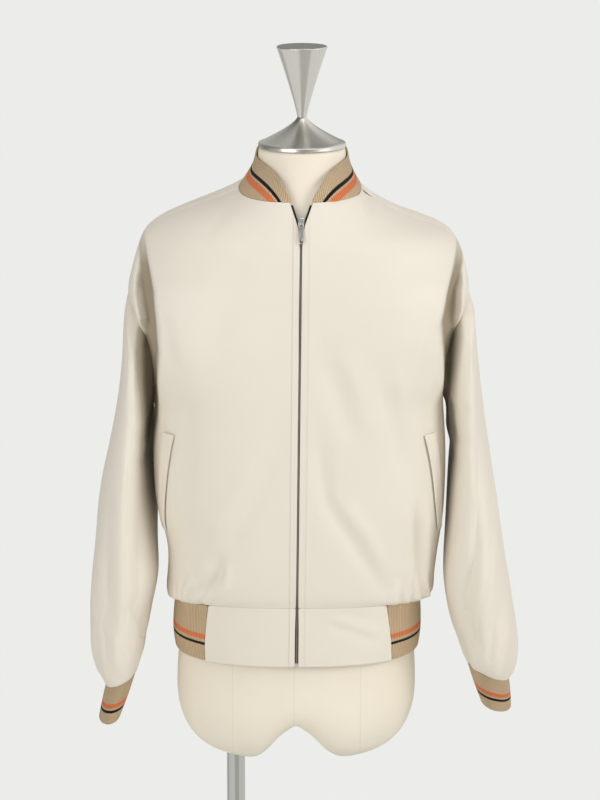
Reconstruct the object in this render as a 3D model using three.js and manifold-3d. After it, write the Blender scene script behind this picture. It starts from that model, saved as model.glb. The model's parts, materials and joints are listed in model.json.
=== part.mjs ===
// A zip-fronted monkey jacket standing on a limbless dress form with a steel pole and base plate.
// Millimetres, +Z up, the front faces -Y, the wearer's right is on -X.
// Origin: centre of the underside of the base plate.
import * as THREE from 'three';
import { mergeVertices } from 'three/addons/utils/BufferGeometryUtils.js';
import Module from 'manifold-3d';

const wasm = await Module();
wasm.setup();

// ---------------------------------------------------------------- driving sizes
const CLOTH_WALL = 1.4;           // cotton-blend shell cloth with its turnings
const RIB_WALL = 2.2;             // doubled rib knit
const SEAM_GAP = 0.3;             // between two pieces at a seam
const HALF_GAP = SEAM_GAP / 2;
const RIB_TRIM = 0.3;             // a rib is thicker than the cloth it meets, so it is cut back more
const LAY_GAP = 0.3;              // between a piece and the panel it lies on

const PLUMB_Z = 1270;             // the figure leans a little towards -X below this height
const LEAN = 0.0107;

// Shares of the way from a centre line to the side, at which the body's columns stand.
const SHARES = [0, 0.12, 0.24, 0.35, 0.46, 0.57, 0.68, 0.79, 0.9, 1];
const BAND_SHARE = 4;             // the column at which the front bands meet the rib
const RINGS_PER_ROW = 2;          // rings made from each row of a section table
const SLEEVE_SIDES = 16;

const ARMHOLE = { top: 1079, under: 948, reach: 78, curl: 2.5 };
const ARMHOLE_X = { right: { top: 227.7, under: 192 }, left: { top: 222.7, under: 190 } };

const ZIP = {
  halfGap: 2.6,                   // front edge to centre line where the zip is closed
  openZ: 1178, openSlope: 0.363,  // the edges spread above this height
  chainHalf: 2.2, chainThick: 2.0,
  tapeWide: 14, tapeThick: 0.6,
  teethWide: 2.2,
  bottomZ: 602,
  tapePast: 3, tapeShort: 4,      // the tapes pass the chain's foot and stop below the neck seam
  teethShort: 3,
};

const COLLAR = { rise: 45, backRise: 50, startAngle: 8.5, ramp: 18, neckRadius: 60.9 };

const FORM_LOBE = { hipZ: 540, crotch: 44, depth: 97, archHalf: 58, squareness: 5 };
const CAP = { z: 1270.3, rimRadius: 57.2, rimTall: 6, step: 2, waistZ: 1309, waistRadius: 6, flare: 1.35 };
const FINIAL = { topZ: 1401.7, topRadius: 33, rimTall: 2.5, flare: 1.15 };
const POLE = { radius: 12.5, x: -90 };
const BASE = { radius: 190, thick: 12, edge: 3 };

// ---------------------------------------------------------------- section tables
const table = (columns, rows) =>
  rows.map((row) => Object.fromEntries(columns.map((name, k) => [name, row[k]])));

// Rings of the jacket body, hem seam to neckline. zFront and zBack are the heights on the centre
// lines; zSide, right and left give the end of each half ring, on the side seam, then the armhole,
// then the shoulder seam; front and back are depths; square is the superellipse exponent.
const BODY = table(
  ['zFront', 'zBack', 'zSide', 'right', 'left', 'front', 'back', 'square'],
  [
    [678, 678, 662, 164.5, 166.0, 122, 122, 2.5],    // hem seam
    [684, 675, 658, 171.5, 175.0, 124, 129, 2.6],    // blouse over the rib
    [696, 684, 669, 175.5, 181.0, 127, 133, 2.7],
    [740, 736, 722, 173.5, 187.0, 130, 135, 2.8],
    [770, 768, 756, 179.0, 192.0, 131, 135, 2.9],
    [800, 800, 790, 189.0, 195.5, 131.5, 134, 3.0],
    [868, 870, 866, 194.0, 196.5, 131.5, 131, 3.1],
    [940, 945, 948, 192.0, 190.0, 130.5, 128, 3.3],  // underarm
    [985, 990, 967, 192.0, 190.0, 129, 126, 3.6],
    [1032, 1036, 1013, 198.0, 196.0, 126.5, 124, 3.8],
    [1076, 1080, 1060, 216.0, 212.0, 122.5, 121, 3.4],
    [1106, 1112, 1079, 227.7, 222.7, 118.5, 118, 3.0],  // top of the armhole
    [1131, 1138, 1114, 221.5, 217.5, 114, 114, 2.8],
    [1152, 1161, 1145, 212.5, 207.0, 109.5, 108, 2.5],  // shoulder point
    [1164, 1177, 1162, 204.0, 189.0, 105.5, 102, 2.2],
    [1176, 1192, 1177, 181.5, 146.5, 101, 94, 2.0],
    [1189, 1208, 1194, 138.0, 111.0, 96, 84, 2.0],
    [1202, 1222, 1207, 102.0, 90.0, 90.5, 74, 2.1],
    [1211.5, 1233, 1216, 82.0, 79.0, 86, 67, 2.25],  // neckline
  ],
);
const ROW = { underarm: 7, armholeTop: 11, neck: BODY.length - 1 };

// Rings of the band round the hips, hem seam to bottom edge.
const BAND = table(
  ['zFront', 'zSide', 'right', 'left', 'front', 'back', 'square'],
  [
    [678, 662, 164.5, 166.0, 122, 122, 2.5],
    [650, 640, 166.5, 167.5, 121.5, 122.5, 2.5],
    [622, 617, 167.5, 168.0, 120.5, 122, 2.5],
    [596, 597, 164.0, 165.0, 118.5, 119, 2.5],
  ],
);
// The seams between the front bands and the rib slant: they open by these shares at the bottom.
const BAND_SLANT = { right: 0.045, left: 0.095 };

// Rings of each sleeve below the armhole: outer and inner points of the ring as seen from the
// front, the middle and half depth fore and aft, the squareness of the section, and how far its
// back is tucked in behind the body.
const SLEEVE_HEADS = ['zOuter', 'zInner', 'outer', 'inner', 'yMid', 'deep', 'square', 'tuck'];
const SLEEVE = {
  right: table(SLEEVE_HEADS, [
    [1060, 936, 234.0, 196.5, 0, 92, 2.6, 0],
    [1022, 918, 235.5, 200.5, 0, 99, 3.0, 0],
    [962, 890, 240.5, 205.0, -1, 102, 2.8, 14],
    [900, 856, 250.0, 206.5, -4, 101, 2.4, 28],
    [840, 818, 266.0, 205.5, -10, 96, 2.2, 36],
    [786, 780, 273.5, 202.0, -18, 90, 2.2, 36],
    [730, 738, 278.0, 196.0, -27, 83, 2.1, 24],
    [684, 704, 282.0, 188.5, -33, 76, 2.1, 8],
    [646, 668, 284.0, 198.0, -38, 69, 2.1, 0],
    [610, 634, 284.0, 203.0, -42, 63, 2.1, 0],
    [580, 602, 277.0, 211.0, -44, 56, 2.1, 0],
    [560, 582, 268.0, 217.5, -46, 47, 2.1, 0],
  ]),
  left: table(SLEEVE_HEADS, [
    [1060, 936, 228.5, 194.5, 0, 92, 2.6, 0],
    [1022, 918, 229.0, 199.5, 0, 99, 3.0, 0],
    [962, 890, 235.5, 203.0, -1, 102, 2.8, 8],
    [900, 856, 244.5, 199.5, -4, 101, 2.4, 10],
    [840, 818, 253.5, 196.5, -10, 96, 2.2, 12],
    [786, 780, 262.0, 195.0, -18, 90, 2.2, 14],
    [730, 738, 271.5, 191.5, -27, 83, 2.1, 14],
    [684, 704, 280.0, 188.0, -33, 76, 2.1, 8],
    [648, 672, 286.5, 191.0, -38, 69, 2.1, 0],
    [612, 640, 292.0, 197.0, -42, 63, 2.1, 0],
    [584, 612, 289.5, 208.0, -44, 57, 2.1, 0],
    [566, 594, 283.0, 215.0, -46, 48, 2.1, 0],
  ]),
};
const TUCK_CURL = 1.5;
const CUFF = {
  right: table(SLEEVE_HEADS, [
    [551, 569, 263.5, 222.0, -46, 42, 2.1, 0],
    [530, 540, 268.5, 231.0, -48, 43, 2.1, 0],
    [507, 507, 273.0, 244.0, -50, 42, 2.1, 0],
  ]),
  left: table(SLEEVE_HEADS, [
    [559, 582, 278.5, 221.0, -46, 40, 2.1, 0],
    [541, 556, 281.0, 229.0, -48, 41, 2.1, 0],
    [522, 528, 281.5, 240.0, -50, 41, 2.1, 0],
  ]),
};

// Rings of the dress form, hips to the top of the neck.
const FORM = table(
  ['z', 'right', 'left', 'front', 'back', 'square'],
  [
    [540, 162.5, 162.5, 106, 104, 2.4],
    [600, 159.0, 159.0, 105, 105, 2.4],
    [670, 152.0, 152.0, 102, 106, 2.4],
    [740, 143.0, 143.0, 98, 102, 2.4],
    [820, 138.0, 138.0, 98, 98, 2.4],
    [900, 148.0, 148.0, 104, 100, 2.4],
    [980, 164.0, 164.0, 110, 106, 2.5],
    [1050, 178.0, 178.0, 111, 110, 2.6],
    [1100, 187.0, 187.0, 108, 108, 2.6],
    [1135, 190.0, 189.0, 103, 103, 2.4],
    [1161, 190.0, 176.0, 97, 98, 2.1],
    [1175, 172.0, 145.0, 92, 92, 1.95],
    [1188, 140.0, 114.5, 88, 86, 1.9],
    [1203, 103.5, 90.5, 80, 76, 2.0],
    [1214, 78.0, 74.5, 73, 66, 2.0],
    [1228, 61.0, 61.0, 63, 59, 2.0],
    [1250, 58.2, 58.2, 58, 57.5, 2.0],
    [1270, 57.0, 57.0, 57, 57, 2.0],
  ],
);
const FORM_SIDES = 36;

// ---------------------------------------------------------------- small helpers
const lerp = (a, b, t) => a + (b - a) * t;
const sideSign = { right: -1, left: 1 };
const group = new THREE.Group();

function addMesh(name, geometry, look, parent = group) {
  const mesh = new THREE.Mesh(geometry, new THREE.MeshStandardMaterial(look));
  mesh.name = name;
  parent.add(mesh);
  return mesh;
}

const LOOKS = {
  shell: { color: 0xe6decf, roughness: 0.8, metalness: 0 },
  rib: { color: 0xb39b7a, roughness: 0.95, metalness: 0 },
  tape: { color: 0x2a221c, roughness: 0.9, metalness: 0 },
  zipMetal: { color: 0xc9c9c6, roughness: 0.3, metalness: 1 },
  form: { color: 0xefe4d2, roughness: 0.7, metalness: 0 },
  steel: { color: 0x9a978e, roughness: 0.35, metalness: 1 },
  pole: { color: 0xc9c8c3, roughness: 0.3, metalness: 1 },
};

// Uniform Catmull-Rom reading of one column of a table at a fractional row.
function read(rows, name, at) {
  const last = rows.length - 1;
  const k = Math.min(Math.floor(at), last - 1);
  const t = at - k;
  const value = (n) => rows[Math.max(0, Math.min(last, n))][name];
  const [p, q, r, s] = [value(k - 1), value(k), value(k + 1), value(k + 2)];
  return q + 0.5 * t * (r - p + t * (2 * p - 5 * q + 4 * r - s + t * (3 * (q - r) + s - p)));
}

// A point of the unit superellipse, given the angle of its ray.
function squircle(angle, exponent) {
  const [c, s] = [Math.cos(angle), Math.sin(angle)];
  const reach = (Math.abs(c) ** exponent + Math.abs(s) ** exponent) ** (-1 / exponent);
  return { across: reach * s, along: reach * c };
}

const leaning = (x, z) => x - LEAN * (PLUMB_Z - z);

// ---------------------------------------------------------------- the jacket's surfaces
// Front edge to centre line at a height: the zip gap, spreading into a V at the neck.
const frontEdge = (z) => ZIP.halfGap + Math.max(0, z - ZIP.openZ) * ZIP.openSlope;

// The armhole seam: angle 0 on top, 90 towards the chest or the back, 180 at the underarm.
function armhole(side, angle) {
  const up = (1 + Math.cos(angle)) / 2;
  const { top, under } = ARMHOLE_X[side];
  return {
    x: lerp(under, top, up ** ARMHOLE.curl),
    y: ARMHOLE.reach * Math.sin(angle),
    z: lerp(ARMHOLE.under, ARMHOLE.top, up),
  };
}

// End of a half ring of the body: side seam, armhole or shoulder seam.
function ringEnd(side, at) {
  if (at > ROW.underarm && at < ROW.armholeTop) {
    const up = (at - ROW.underarm) / (ROW.armholeTop - ROW.underarm);
    return armhole(side, Math.PI * (1 - up));
  }
  return { x: read(BODY, side, at), y: 0, z: read(BODY, 'zSide', at) };
}

// A point of the body, at a row of its table and a share of the way from the centre to the side.
function bodyPoint(face, side, at, share) {
  const facing = face === 'front' ? -1 : 1;
  const end = ringEnd(side, at);
  const depth = read(BODY, face, at);
  const centreZ = read(BODY, face === 'front' ? 'zFront' : 'zBack', at);
  const { across, along } = squircle(share * Math.PI / 2, read(BODY, 'square', at));
  const z = lerp(centreZ, end.z, share * share);
  const start = face === 'front' ? frontEdge(z) : 0;
  const x = lerp(start, end.x, across);
  return new THREE.Vector3(
    leaning(sideSign[side] * x, z), facing * lerp(end.y, depth, along), z);
}

// Moves an angle round the hip band with the slant of its front seam.
function slanted(side, at, angle) {
  const seam = SHARES[BAND_SHARE] * Math.PI / 2;
  const moved = seam * (1 + BAND_SLANT[side] * at / (BAND.length - 1));
  if (angle > Math.PI / 2) return angle;
  if (angle <= seam) return angle * moved / seam;
  return lerp(moved, Math.PI / 2, (angle - seam) / (Math.PI / 2 - seam));
}

// A point of the hip band, by angle: 0 at the centre front, 180 at the centre back.
function bandPoint(side, at, straight) {
  const angle = slanted(side, at, straight);
  const front = angle <= Math.PI / 2;
  const share = (front ? angle : Math.PI - angle) / (Math.PI / 2);
  const depth = read(BAND, front ? 'front' : 'back', at);
  const { across, along } = squircle(share * Math.PI / 2, read(BAND, 'square', at));
  const z = lerp(read(BAND, 'zFront', at), read(BAND, 'zSide', at), share * share);
  const start = front ? frontEdge(z) : 0;
  const x = lerp(start, read(BAND, side, at), across);
  return new THREE.Vector3(leaning(sideSign[side] * x, z), (front ? -1 : 1) * depth * along, z);
}

// A ring of a sleeve or cuff at a row of its table.
function tubePoint(rows, side, at, angle) {
  const { across, along } = squircle(angle, read(rows, 'square', at));
  const out = (1 + along) / 2;
  const z = lerp(read(rows, 'zInner', at), read(rows, 'zOuter', at), out);
  const x = lerp(read(rows, 'inner', at), read(rows, 'outer', at), out);
  const tuck = read(rows, 'tuck', at) * (1 - out) * Math.max(0, -across) ** TUCK_CURL;
  return new THREE.Vector3(
    sideSign[side] * (x - tuck), read(rows, 'yMid', at) - read(rows, 'deep', at) * across, z);
}

// ---------------------------------------------------------------- cloth walls
// A panel is a grid of points on its outer face. Points that two panels share get one normal, so
// both walls end in the same slanted face, and each is then trimmed back by half the seam gap.
const panels = [];
const keyOf = (p) => p.toArray().map((value) => Math.round(value * 1000) + 0).join();

function gridNormals(grid, wraps) {
  const [rows, columns] = [grid.length, grid[0].length];
  const column = (j) => (wraps ? (j + columns) % columns : Math.max(0, Math.min(columns - 1, j)));
  const row = (i) => Math.max(0, Math.min(rows - 1, i));
  return grid.map((line, i) => line.map((_, j) => {
    const down = grid[row(i + 1)][j].clone().sub(grid[row(i - 1)][j]);
    const along = grid[i][column(j + 1)].clone().sub(grid[i][column(j - 1)]);
    return along.cross(down).normalize();
  }));
}

// flip turns the grid's face; trims lists which edges meet another piece, trim is how far they
// are cut back, and weight is the panel's say in the normals that it shares.
function addPanel(name, look, wall, grid, options = {}) {
  const { wraps = false, flip = false, trims = 'tblr', trim = HALF_GAP, weight = 1 } = options;
  const normals = gridNormals(grid, wraps);
  if (flip) normals.flat().forEach((n) => n.negate());
  panels.push({ name, look, wall, grid, normals, wraps, trims, trim, weight });
}

function shareNormals() {
  const sums = new Map();
  for (const { grid, normals, weight } of panels) {
    grid.forEach((line, i) => line.forEach((p, j) => {
      const key = keyOf(p);
      if (!sums.has(key)) sums.set(key, new THREE.Vector3());
      sums.get(key).addScaledVector(normals[i][j], weight);
    }));
  }
  for (const { grid, normals } of panels) {
    grid.forEach((line, i) => line.forEach((p, j) => {
      normals[i][j].copy(sums.get(keyOf(p))).normalize();
    }));
  }
}

function trimmed(grid, trims, trim) {
  const out = grid.map((line) => line.map((p) => p.clone()));
  const [last, end] = [grid.length - 1, grid[0].length - 1];
  const pull = (i, j, towards) =>
    out[i][j].add(towards.clone().sub(grid[i][j]).setLength(trim));
  grid[0].forEach((_, j) => {
    if (trims.includes('t')) pull(0, j, grid[1][j]);
    if (trims.includes('b')) pull(last, j, grid[last - 1][j]);
  });
  grid.forEach((_, i) => {
    if (trims.includes('l')) pull(i, 0, grid[i][1]);
    if (trims.includes('r')) pull(i, end, grid[i][end - 1]);
  });
  return out;
}

// Closed solid between two matching grids of points.
function solidBetween(outer, inner, wraps) {
  const [rows, columns] = [outer.length, outer[0].length];
  const points = [...outer.flat(), ...inner.flat()];
  const faces = [];
  const at = (layer, i, j) => layer * rows * columns + i * columns + (j % columns);
  const quad = (a, b, c, d) => faces.push(a, b, c, a, c, d);
  const spans = wraps ? columns : columns - 1;
  for (let i = 0; i < rows - 1; i += 1) {
    for (let j = 0; j < spans; j += 1) {
      quad(at(0, i, j), at(0, i, j + 1), at(0, i + 1, j + 1), at(0, i + 1, j));
      quad(at(1, i, j), at(1, i + 1, j), at(1, i + 1, j + 1), at(1, i, j + 1));
    }
    if (!wraps) {
      quad(at(0, i + 1, 0), at(1, i + 1, 0), at(1, i, 0), at(0, i, 0));
      const e = columns - 1;
      quad(at(0, i, e), at(1, i, e), at(1, i + 1, e), at(0, i + 1, e));
    }
  }
  for (let j = 0; j < spans; j += 1) {
    quad(at(0, 0, j + 1), at(0, 0, j), at(1, 0, j), at(1, 0, j + 1));
    const e = rows - 1;
    quad(at(0, e, j), at(0, e, j + 1), at(1, e, j + 1), at(1, e, j));
  }
  return facingOut(points, faces);
}

// Geometry of a closed faceted solid, turned so that its faces point out.
function facingOut(points, faces) {
  let volume = 0;
  for (let k = 0; k < faces.length; k += 3) {
    const [a, b, c] = [points[faces[k]], points[faces[k + 1]], points[faces[k + 2]]];
    volume += a.dot(b.clone().cross(c));
  }
  if (volume < 0) {
    for (let k = 0; k < faces.length; k += 3) {
      [faces[k + 1], faces[k + 2]] = [faces[k + 2], faces[k + 1]];
    }
  }
  const geometry = new THREE.BufferGeometry();
  geometry.setAttribute('position',
    new THREE.Float32BufferAttribute(points.flatMap((p) => [p.x, p.y, p.z]), 3));
  geometry.setIndex(faces);
  return geometry;
}

function buildPanels() {
  shareNormals();
  for (const { name, look, wall, grid, normals, wraps, trims, trim } of panels) {
    const outer = trimmed(grid, trims, trim);
    const inner = outer.map((line, i) =>
      line.map((p, j) => p.clone().addScaledVector(normals[i][j], -wall)));
    addMesh(name, solidBetween(outer, inner, wraps), look);
  }
}

// ---------------------------------------------------------------- shell panels
const bodyRows = [];
for (let at = 0; at < ROW.neck; at += 1 / RINGS_PER_ROW) bodyRows.push(at);
bodyRows.push(ROW.neck);

for (const side of ['right', 'left']) {
  const grid = bodyRows.map((at) => SHARES.map((share) => bodyPoint('front', side, at, share)));
  addPanel(`front_${side}`, LOOKS.shell, CLOTH_WALL, grid, { flip: side === 'right' });
}

// The back is one panel, its columns running from the right side seam to the left.
addPanel('back', LOOKS.shell, CLOTH_WALL, bodyRows.map((at) => [
  ...SHARES.slice().reverse().map((share) => bodyPoint('back', 'right', at, share)),
  ...SHARES.slice(1).map((share) => bodyPoint('back', 'left', at, share)),
]), { flip: true });

// ---------------------------------------------------------------- sleeves and cuffs
const around = Array.from({ length: SLEEVE_SIDES }, (_, k) => (2 * Math.PI * k) / SLEEVE_SIDES);

function sleeveGrid(side) {
  const seam = around.map((angle) => {
    const { x, y, z } = armhole(side, angle);
    return new THREE.Vector3(leaning(sideSign[side] * x, z), -y, z);
  });
  const rows = [...SLEEVE[side], CUFF[side][0]];
  const rings = rows.map((_, at) => around.map((angle) => tubePoint(rows, side, at, angle)));
  return [seam, ...rings];
}

function cuffGrid(side) {
  const rows = CUFF[side];
  return rows.map((_, at) => around.map((angle) => tubePoint(rows, side, at, angle)));
}

for (const side of ['right', 'left']) {
  const flip = side === 'right';
  addPanel(`sleeve_${side}`, LOOKS.shell, CLOTH_WALL, sleeveGrid(side),
    { wraps: true, flip, trims: 'tb' });
  addPanel(`cuff_${side}`, LOOKS.rib, RIB_WALL, cuffGrid(side),
    { wraps: true, flip, trims: 't', trim: RIB_TRIM });
}

// ---------------------------------------------------------------- hip band: two front bands, one rib
const bandRows = BAND.map((_, at) => at);

const frontAngles = SHARES.map((share) => share * Math.PI / 2);
const backAngles = SHARES.map((share) => Math.PI - share * Math.PI / 2).reverse();
const bandAngles = frontAngles.slice(0, BAND_SHARE + 1);
const ribAngles = [...frontAngles.slice(BAND_SHARE), ...backAngles.slice(1)];

for (const side of ['right', 'left']) {
  const grid = bandRows.map((at) => bandAngles.map((angle) => bandPoint(side, at, angle)));
  addPanel(`hem_band_${side}`, LOOKS.shell, CLOTH_WALL, grid, { flip: side === 'left' });
}

addPanel('hem_rib', LOOKS.rib, RIB_WALL, bandRows.map((at) => [
  ...ribAngles.map((angle) => bandPoint('right', at, angle)),
  ...ribAngles.slice(0, -1).reverse().map((angle) => bandPoint('left', at, angle)),
]), { trim: 2 * RIB_TRIM, weight: 3 });

// ---------------------------------------------------------------- collar
// The rib stands on the neckline and leans in to the neck; it runs out to nothing at the zip.
const collarRise = (angle) => {
  const away = Math.max(0, angle - COLLAR.startAngle);
  const full = lerp(COLLAR.rise, COLLAR.backRise, Math.max(0, angle - 90) / 90);
  return full * (1 - Math.exp(-away / COLLAR.ramp));
};
const COLLAR_ROWS = 3;
const COLLAR_FOOT = 2.5;          // least height, at the zip ends

function collarColumn(seamPoint) {
  const angle = THREE.MathUtils.radToDeg(Math.atan2(Math.abs(seamPoint.x), -seamPoint.y));
  const rise = Math.max(COLLAR_FOOT, collarRise(angle));
  const plan = Math.hypot(seamPoint.x, seamPoint.y);
  const reach = lerp(plan, COLLAR.neckRadius, Math.min(1, rise / COLLAR.rise));
  return Array.from({ length: COLLAR_ROWS + 1 }, (_, k) => {
    const up = k / COLLAR_ROWS;
    const inwards = lerp(1, reach / plan, Math.sin(up * Math.PI / 2));
    return new THREE.Vector3(
      seamPoint.x * inwards, seamPoint.y * inwards, seamPoint.z + rise * up);
  });
}
const neckline = [
  ...SHARES.map((share) => bodyPoint('front', 'right', ROW.neck, share)),
  ...SHARES.slice(0, -1).reverse().map((share) => bodyPoint('back', 'right', ROW.neck, share)),
  ...SHARES.slice(1).map((share) => bodyPoint('back', 'left', ROW.neck, share)),
  ...SHARES.slice(0, -1).reverse().map((share) => bodyPoint('front', 'left', ROW.neck, share)),
];
const collarColumns = neckline.map(collarColumn);
addPanel('collar_rib', LOOKS.rib, RIB_WALL,
  Array.from({ length: COLLAR_ROWS + 1 }, (_, k) => collarColumns.map((column) => column[k])),
  { flip: true, trims: 't' });

buildPanels();

// ---------------------------------------------------------------- pieces that lie on the fronts
// A strip laid over or under a surface: its grid of points is moved along the surface's normal.
function layStrip(name, look, grid, near, far, flip) {
  const normals = gridNormals(grid, false);
  const moved = (distance) => grid.map((line, i) => line.map((p, j) =>
    p.clone().addScaledVector(normals[i][j], (flip ? -1 : 1) * distance)));
  addMesh(name, solidBetween(moved(near), moved(far), false), look);
}

// Slanted pocket welts, by rows of the body table and shares of the way to the side seam.
const WELT = { topRow: 6.5, bottomRow: 4.2, topShare: 0.53, bottomShare: 0.70, wide: 0.085,
  thick: 1.0, steps: 6 };
for (const side of ['right', 'left']) {
  const grid = Array.from({ length: WELT.steps + 1 }, (_, i) => {
    const t = i / WELT.steps;
    const share = lerp(WELT.topShare, WELT.bottomShare, t);
    return [0, 0.5, 1].map((j) => bodyPoint(
      'front', side, lerp(WELT.topRow, WELT.bottomRow, t), share + j * WELT.wide));
  });
  layStrip(`pocket_welt_${side}`, LOOKS.shell, grid, LAY_GAP * 2, LAY_GAP * 2 + WELT.thick,
    side === 'left');
}

// ---------------------------------------------------------------- zip
// Centre-front line of the outer cloth face, from the bottom edge of the band to the neckline:
// a height with the depth, half width, side depth and squareness of its ring.
const centreLine = [];
for (let at = BAND.length - 1; at > 0; at -= 0.5) {
  centreLine.push({ z: read(BAND, 'zFront', at), depth: read(BAND, 'front', at),
    wide: read(BAND, 'left', at), sideDepth: 0, square: read(BAND, 'square', at) });
}
for (const at of bodyRows) {
  const end = ringEnd('left', at);
  centreLine.push({ z: read(BODY, 'zFront', at), depth: read(BODY, 'front', at),
    wide: end.x, sideDepth: end.y, square: read(BODY, 'square', at) });
}

// Depth of the cloth face at a height and a distance from the centre line.
function depthAt(z, distance = 0) {
  const k = Math.max(1, centreLine.findIndex((ring) => ring.z >= z));
  const [low, high] = [centreLine[k - 1], centreLine[k]];
  const t = (z - low.z) / (high.z - low.z);
  const [wide, square] = [lerp(low.wide, high.wide, t), lerp(low.square, high.square, t)];
  const along = (1 - (distance / wide) ** square) ** (1 / square);
  return lerp(lerp(low.sideDepth, high.sideDepth, t), lerp(low.depth, high.depth, t), along);
}

const SHORTEST = 2;               // no step of a bar is shorter
const zipHeights = (low, high) =>
  [low, ...centreLine.map(({ z }) => z).filter((z) => z > low + SHORTEST && z < high - SHORTEST), high];

// A bar down the centre front, between two distances from the centre line and two depths
// behind the cloth face.
function zipBar(name, look, heights, nearX, farX, frontDepth, backDepth) {
  const line = (depth) => heights.map((z) => [nearX(z), farX(z)].map((x) =>
    new THREE.Vector3(leaning(x, z), depth - depthAt(z, Math.abs(x)), z)));
  addMesh(name, solidBetween(line(frontDepth), line(backDepth), false), look);
}
const CHAIN_TOP = 1181;
const CHAIN_GAP = 1;              // between the closed chain and each open row of teeth
const NECK_TOP = read(BODY, 'zFront', ROW.neck);
const CHAIN_SINK = -0.4;          // the teeth stand a little proud of the cloth
const TAPE_CLEAR = 0.5;           // behind the cloth, where it curves most
const TAPE_DEPTH = CLOTH_WALL + LAY_GAP + TAPE_CLEAR;
zipBar('zip_chain', LOOKS.tape, zipHeights(ZIP.bottomZ, CHAIN_TOP),
  () => -ZIP.chainHalf, () => ZIP.chainHalf, CHAIN_SINK, CHAIN_SINK + ZIP.chainThick);
for (const side of ['right', 'left']) {
  const sign = sideSign[side];
  const edge = (z) => Math.max(SEAM_GAP, frontEdge(z) - ZIP.halfGap + SEAM_GAP);
  zipBar(`zip_tape_${side}`, LOOKS.tape, zipHeights(ZIP.bottomZ - ZIP.tapePast, NECK_TOP - ZIP.tapeShort),
    (z) => sign * edge(z), (z) => sign * (edge(z) + ZIP.tapeWide),
    TAPE_DEPTH, TAPE_DEPTH + ZIP.tapeThick);
  zipBar(`zip_teeth_${side}`, LOOKS.tape, zipHeights(CHAIN_TOP + CHAIN_GAP, NECK_TOP - ZIP.teethShort),
    (z) => sign * (frontEdge(z) - SEAM_GAP - ZIP.teethWide), (z) => sign * (frontEdge(z) - SEAM_GAP),
    CHAIN_SINK, CHAIN_SINK + ZIP.chainThick);
}

// The bottom stop joins the two halves of the chain.
const STOP = { wide: 4.4, tall: 5, thick: 2.0 };
zipBar('zip_stop', LOOKS.zipMetal, [ZIP.bottomZ - STOP.tall - SEAM_GAP, ZIP.bottomZ - SEAM_GAP],
  () => -STOP.wide / 2, () => STOP.wide / 2, CHAIN_SINK, CHAIN_SINK + STOP.thick);

// ---------------------------------------------------------------- slider and pull
// Both stand in a frame on the chain, tipped back to lie along the slope of the chest there.
const SLIDER = { z: 1186, tall: 14, topHalf: 3.9, bottomHalf: 3.1, thick: 1.6,
  taperAt: 0.2, chamferAt: 0.8, chamferTo: 0.7 };
const LUG = { wide: 2.4, tall: 3.2, long: 7.5, bar: 1.0, post: 1.2, lean: 0.8, sill: 0.1 };
const PULL = { wide: 6, long: 26, thick: 1.2, bar: 1.2, window: 3.2, windowFar: 4.2, hole: 1.5,
  corner: 0.8 };
const PIVOT = { fromPost: 1.0, up: 1.15 };        // of the pull's bar in the lug's window
const SLOPE_SPAN = { below: 10, above: 6 };       // where the slope of the chest is taken
const chestSlope = Math.atan(
  (depthAt(SLIDER.z - SLOPE_SPAN.below) - depthAt(SLIDER.z + SLOPE_SPAN.above))
  / (SLOPE_SPAN.below + SLOPE_SPAN.above));

// Local axes: x along X, y up the chain, z away from the chest.
const zipFrame = new THREE.Group();
zipFrame.position.set(
  leaning(0, SLIDER.z), -depthAt(SLIDER.z) + CHAIN_SINK - LAY_GAP, SLIDER.z);
zipFrame.rotation.x = Math.PI / 2 - chestSlope;
group.add(zipFrame);

const toManifold = (geometry) => {
  const bare = geometry.clone();
  bare.deleteAttribute('normal');
  bare.deleteAttribute('uv');
  const merged = mergeVertices(bare, 1e-4);
  return new wasm.Manifold(new wasm.Mesh({
    numProp: 3,
    vertProperties: Float32Array.from(merged.attributes.position.array),
    triVerts: Uint32Array.from(merged.index.array),
  }));
};
const fromManifold = (solid) => {
  const mesh = solid.getMesh();
  const geometry = new THREE.BufferGeometry();
  geometry.setAttribute('position', new THREE.BufferAttribute(mesh.vertProperties, 3));
  geometry.setIndex(new THREE.BufferAttribute(mesh.triVerts, 1));
  return geometry;
};

function slab(outline, thick) {
  const shape = new THREE.Shape(outline.map(([x, y]) => new THREE.Vector2(x, y)));
  return new THREE.ExtrudeGeometry(shape, { depth: thick, bevelEnabled: false });
}

const half = SLIDER.tall / 2;
const plate = slab([
  [-SLIDER.bottomHalf, -half], [SLIDER.bottomHalf, -half],
  [SLIDER.topHalf, SLIDER.taperAt * half], [SLIDER.topHalf, SLIDER.chamferAt * half],
  [SLIDER.chamferTo * SLIDER.topHalf, half], [-SLIDER.chamferTo * SLIDER.topHalf, half],
  [-SLIDER.topHalf, SLIDER.chamferAt * half], [-SLIDER.topHalf, SLIDER.taperAt * half],
], SLIDER.thick);

// The lug is a staple seen from the side, with the pull's bar in its window.
const lugEnd = LUG.long / 2;
const lugOutline = new THREE.Shape([
  [-lugEnd, -LUG.sill], [lugEnd, -LUG.sill], [lugEnd - LUG.lean, LUG.tall],
  [-lugEnd + LUG.lean, LUG.tall],
].map(([y, z]) => new THREE.Vector2(y, z)));
const windowEnd = lugEnd - LUG.post;
const windowTop = LUG.tall - LUG.bar;
lugOutline.holes.push(new THREE.Path([
  [-windowEnd, LUG.sill], [-windowEnd, windowTop], [windowEnd, windowTop], [windowEnd, LUG.sill],
].map(([y, z]) => new THREE.Vector2(y, z))));
const lug = new THREE.ExtrudeGeometry(lugOutline, { depth: LUG.wide, bevelEnabled: false });
lug.applyMatrix4(new THREE.Matrix4().makeBasis(
  new THREE.Vector3(0, 1, 0), new THREE.Vector3(0, 0, 1), new THREE.Vector3(1, 0, 0)));
lug.translate(-LUG.wide / 2, 0, SLIDER.thick);
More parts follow.
